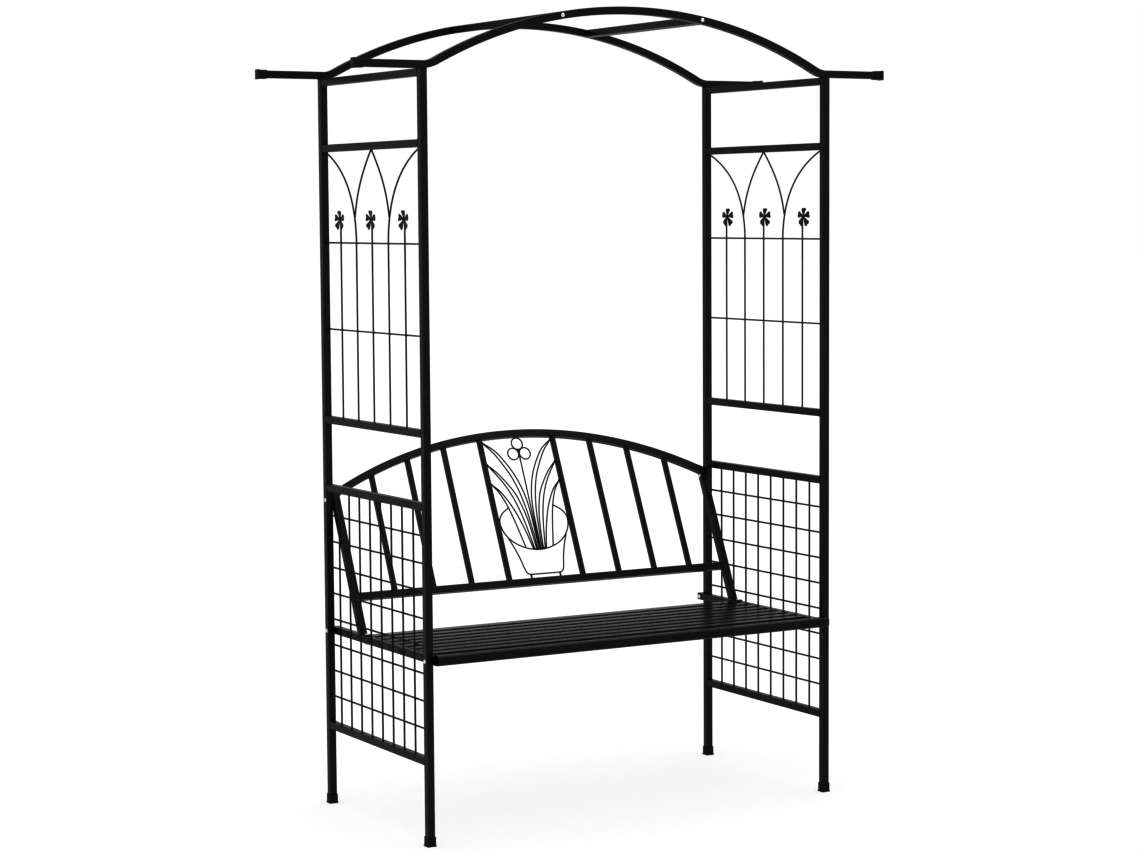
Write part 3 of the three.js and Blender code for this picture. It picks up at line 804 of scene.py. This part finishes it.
def strut(side, sx):
    node = f"backrest_strut_{side}"
    low, _ = node_box(node)
    x = sx * STRUT_X
    body = Body()
    foot_s = (low.z + 1.5 - BACK_FOOT.z) / math.cos(LEAN)
    top_s = arch_s(abs(x), BACK_ARCH_R + HALF)
    bar(body, TUBE_SECTION, slope(x, foot_s), slope(x, top_s), ACROSS, UP, arch_normal(x))
    # foot tab, a plate with rounded corners
    tab_y = 106 + MID_Y
    tab = rounded(TUBE, 34, 3.5, 5)
    rings = []
    for z, shrink in ((0, 0.35), (0.3, 0), (2.3, 0), (2.6, 0.35)):
        k = 1 - shrink / 9
        rings.append([Vector((x + a * k, tab_y + b * k, low.z + z)) for a, b in tab])
    body.rings(rings)
    foot = slope(x, foot_s)
    end_bead(body, Vector((x, foot.y, low.z + 2.6)), ACROSS, DEEP, TUBE, TUBE / math.cos(LEAN), 1.3, 11 + sx)
    place(f"{side}_backrest_strut", body, COATED, (node,))


def backrest():
    edge = STRUT_X - HALF
    body = Body()
    half_angle = math.asin(edge / BACK_ARCH_R)
    steps = 96
    rings = []
    for i in range(steps + 1):
        a = -half_angle + 2 * half_angle * i / steps
        p = slope(BACK_ARCH_R * math.sin(a), ARCH_CENTRE + BACK_ARCH_R * math.cos(a))
        up = ACROSS * math.sin(a) + SLOPE_UP * math.cos(a)
        along = ACROSS * math.cos(a) - SLOPE_UP * math.sin(a)
        ring = [p + SLOPE_OUT * u + up * v for u, v in TUBE_SECTION]
        if i in (0, steps):
            ring = to_plane(ring, along, Vector((math.copysign(edge, a), 0, 0)), ACROSS)
        rings.append(ring)
    body.rings(rings)
    for sx in (-1, 1):
        end_bead(body, slope(sx * edge, arch_s(edge)), SLOPE_OUT, SLOPE_UP, TUBE, TUBE * 1.13, 1.3, 60 + sx)
    place("backrest_top_bar", body, COATED, ("backrest_arch_bar",))
    body = Body()
    bar(body, TUBE_SECTION, slope(-edge, BACK_BAR_S), slope(edge, BACK_BAR_S), SLOPE_UP)
    for sx in (-1, 1):
        end_bead(body, slope(sx * edge, BACK_BAR_S), SLOPE_OUT, SLOPE_UP, TUBE, TUBE, 1.3, 64 + sx)
    place("backrest_lower_bar", body, COATED, ("backrest_bottom_bar",))
    section = rounded(BACK_SLAT, BACK_SLAT, 2.0, 5)
    for number, i in enumerate((-4, -3, -2, -1, 1, 2, 3, 4)):
        x = i * BACK_PITCH
        body = Body()
        low_s, high_s = BACK_BAR_S + HALF, arch_s(x, BACK_ARCH_R - HALF)
        bar(body, section, slope(x, low_s), slope(x, high_s + 0.2), ACROSS, None, arch_normal(x))
        end_bead(body, slope(x, low_s), ACROSS, SLOPE_OUT, BACK_SLAT, BACK_SLAT, 1.15, 160 + i)
        end_bead(body, slope(x, high_s), (ACROSS - arch_normal(x) * ACROSS.dot(arch_normal(x))).normalized(),
                 SLOPE_OUT, BACK_SLAT / math.cos(math.asin(x / BACK_ARCH_R)), BACK_SLAT, 1.15, 170 + i)
        place(f"backrest_slat_{number + 1}_fine", body, COATED, (f"backrest_slat_{number + 1}",))


# outlines of the ornament's leaves: each is two wires that meet in a point, (x, up the slope)
LEAVES = (
    ((105.2, 493), (78.5, 463.5), (58, 430.5), (40, 395.5), (27, 357.5), (19, 321), (13.5, 285), (10.5, 248),
     (8, 216), (7, 183)),
    ((104.9, 493.4), (74, 470), (49.5, 437), (29, 399), (15.5, 361), (8, 325), (5, 290), (4, 258),
     (3.2, 216), (2.6, 183)),
    ((105.1, 429.7), (84.5, 402), (66, 373.5), (50, 340), (38, 304), (29, 266), (23, 230), (16, 184)),
    ((104.8, 430.2), (80, 406), (57.5, 376), (39, 345), (27, 310), (19, 275), (15, 243), (12.5, 213), (10.5, 184)),
    ((105.1, 374), (89, 353.5), (75.5, 325), (67, 300), (58, 266), (50.5, 231), (42.5, 193)),
    ((104.8, 374.5), (83, 353), (66.5, 327), (51.5, 296.5), (39.5, 262.5), (30, 230), (23, 200), (20, 186)),
)
POT = ((-88.5, 219), (-76.5, 190), (-66, 157.5), (-59.5, 130), (-54, 118.5), (-45, 114.6))
BLOOMS = ((0, 486.6), (-18.1, 457.6), (18.1, 457.6))
BLOOM_R = 16.6


def ornament():
    body = Body()
    for m in (-1, 1):
        for k, leaf in enumerate(LEAVES):
            path = smooth([slope(m * x, s) for x, s in leaf], 6)
            wire(body, path, ORNAMENT, SLOPE_OUT, 10, seed=k + 3)
        for leaf in LEAVES[::2]:
            x, s = leaf[0]
            nugget(body, slope(m * x, s), 2.9, SLOPE_UP, int(s), 1.3)
        wire(body, [slope(m * 44.5, BACK_BAR_S + HALF - 0.5), slope(m * 44.5, 114.6)], ORNAMENT * 1.4, SLOPE_OUT, 10,
             seed=9 + m)
    rim = []
    for i in range(73):
        a = -math.pi * 1.27 + i / 72 * math.pi * 1.54
        rim.append(slope(104.4 * math.cos(a), 264 + (54 if math.sin(a) > 0 else 81) * math.sin(a)))
    wire(body, rim, ORNAMENT, SLOPE_OUT, 10, seed=2)
    left = smooth([slope(x, s) for x, s in POT], 6)
    right = [slope(2 * BACK_FOOT.x - (p - BACK_FOOT).x, (p - BACK_FOOT).dot(SLOPE_UP)) for p in reversed(left)]
    wire(body, left + right, ORNAMENT, SLOPE_OUT, 10, seed=4)
    wire(body, [slope(0, 183.5), slope(0, 466)], ORNAMENT, SLOPE_OUT, 10, (False, False), 5)
    for x, s in BLOOMS:
        ring = [slope(x + BLOOM_R * math.cos(2 * math.pi * k / 40), s + BLOOM_R * math.sin(2 * math.pi * k / 40))
                for k in range(40)]
        body.sweep(ring, circle(ORNAMENT, 10), SLOPE_OUT, closed=True)
    nugget(body, slope(0, 467.5), 3.4, SLOPE_OUT, 21, 0.7)
    for k in range(-2, 3):
        nugget(body, slope(k * 6.5, 183.4 + abs(k) * 0.4), 3.6, SLOPE_OUT, 30 + k, 0.6)
    place("pot_ornament", body, WIRED, ("backrest_ornament",))


# ------------------------------------------------------------------ fasteners
def bolts():
    grip = 2 * TUBE + GAP
    for side, sx in SIDES:
        out = Vector((sx, 0, 0))
        x = (POST_X + node_centre(f"seat_side_bar_{side}").x * sx) / 2
        seat_z = node_centre(f"seat_side_bar_{side}").z
        for end, _ in ENDS:
            fastener(f"{end}_{side}_seat_bolt", f"seat_bolt_{end}_{side}", Vector((sx * x, POST_Y[end], seat_z)), out, grip)
        fastener(f"{side}_backrest_bolt", f"backrest_bolt_{side}",
                 Vector((sx * (POST_X + STRUT_X) / 2, 280 + MID_Y, 800.5)), out, grip)
        low, high = node_box(f"seat_side_bar_{side}")
        plate = 2.6
        fastener(f"{side}_strut_foot_bolt", f"strut_foot_bolt_{side}",
                 Vector(((low.x + high.x) / 2, 100 + MID_Y, seat_z + (GAP + plate) / 2)), UP, TUBE + GAP + plate,
                 far=cap_nut)


# ------------------------------------------------------------------ build
for side, sx in SIDES:
    for end, _ in ENDS:
        post(side, sx, end)
    top = Body()
    rail(top, sx * POST_X, node_centre(f"side_rail_top_{side}").z, 60 + sx, sx)
    place(f"{side}_top_rail", top, COATED, (f"side_rail_top_{side}",))
    scroll_panel(side, sx)
    mesh_panel(side, sx)
    crossbar(side, sx)
    strut(side, sx)
for end, sy in ENDS:
    hoop(end, sy)
seat()
backrest()
ornament()
bolts()


# ------------------------------------------------------------------ floor, light and camera
def floor():
    mesh = bpy.data.meshes.new("floor")
    size = 60
    mesh.from_pydata([(-size, -size, 0), (size, -size, 0), (size, size, 0), (-size, size, 0)], [], [(0, 1, 2, 3)])
    m = Nodes("pale_floor")
    # lit from below, as a light table is, so that the seat's shadow stays faint
    m.set(Roughness=0.9, Specular_IOR_Level=0.0, Emission_Strength=0.735)
    m.feed("Base Color", m.ramp(m.noise(0.6, 2), ((0.3, (0.296, 0.296, 0.296)), (0.7, (0.304, 0.304, 0.304)))))
    mesh.materials.append(m.material)
    obj = bpy.data.objects.new("floor", mesh)
    bpy.context.scene.collection.objects.link(obj)


def world():
    """White backdrop. What lights the floor and shows in the gloss is a touch brighter."""
    w = bpy.data.worlds.new("studio")
    bpy.context.scene.world = w
    w.use_nodes = True
    nodes, links = w.node_tree.nodes, w.node_tree.links
    fill = nodes["Background"]
    backdrop = nodes.new("ShaderNodeBackground")
    for node, strength in ((fill, 1.02), (backdrop, 1.0)):
        node.inputs["Color"].default_value = (1, 1, 1, 1)
        node.inputs["Strength"].default_value = strength
    path = nodes.new("ShaderNodeLightPath")
    mix = nodes.new("ShaderNodeMixShader")
    links.new(path.outputs["Is Camera Ray"], mix.inputs["Fac"])
    links.new(fill.outputs["Background"], mix.inputs[1])
    links.new(backdrop.outputs["Background"], mix.inputs[2])
    links.new(mix.outputs["Shader"], nodes["World Output"].inputs["Surface"])


def softbox(name, place_at, aim, size, power, gloss_only=False):
    """Area light. With gloss_only it shows in the coat's gloss and leaves the floor alone."""
    data = bpy.data.lights.new(name, "AREA")
    data.shape = "RECTANGLE"
    data.size, data.size_y = size
    data.energy = power
    light = bpy.data.objects.new(name, data)
    light.location = place_at
    light.rotation_euler = (Vector(aim) - Vector(place_at)).to_track_quat("-Z", "Y").to_euler()
    light.visible_diffuse = not gloss_only
    bpy.context.scene.collection.objects.link(light)


def camera():
    yaw, pitch, roll = math.radians(29.962), math.radians(-4.632), math.radians(-0.381)
    f = Vector((math.sin(yaw) * math.cos(pitch), math.cos(yaw) * math.cos(pitch), math.sin(pitch)))
    r = Vector((math.cos(yaw), -math.sin(yaw), 0))
    u = r.cross(f)
    r2 = r * math.cos(roll) + u * math.sin(roll)
    u2 = u * math.cos(roll) - r * math.sin(roll)
    data = bpy.data.cameras.new("camera")
    data.lens, data.sensor_width = 83.55, 36
    data.clip_start, data.clip_end = 0.1, 200
    cam = bpy.data.objects.new("camera", data)
    at = Vector((-3.4651, -5.9717 + MID_Y * MM, 1.5404))
    cam.matrix_world = Matrix.Translation(at) @ Matrix((r2, u2, -f)).transposed().to_4x4()
    bpy.context.scene.collection.objects.link(cam)
    bpy.context.scene.camera = cam


floor()
world()
softbox("overhead", (2.7, -1.4, 5.6), (0, 0, 0.6), (4.5, 3.6), 112, gloss_only=True)
softbox("front_left", (-4.5, -3.5, 3.0), (0, 0, 1.0), (1.6, 2.6), 9)
camera()
bpy.context.scene.view_settings.view_transform = "Standard"
bpy.context.scene.view_settings.gamma = 0.47
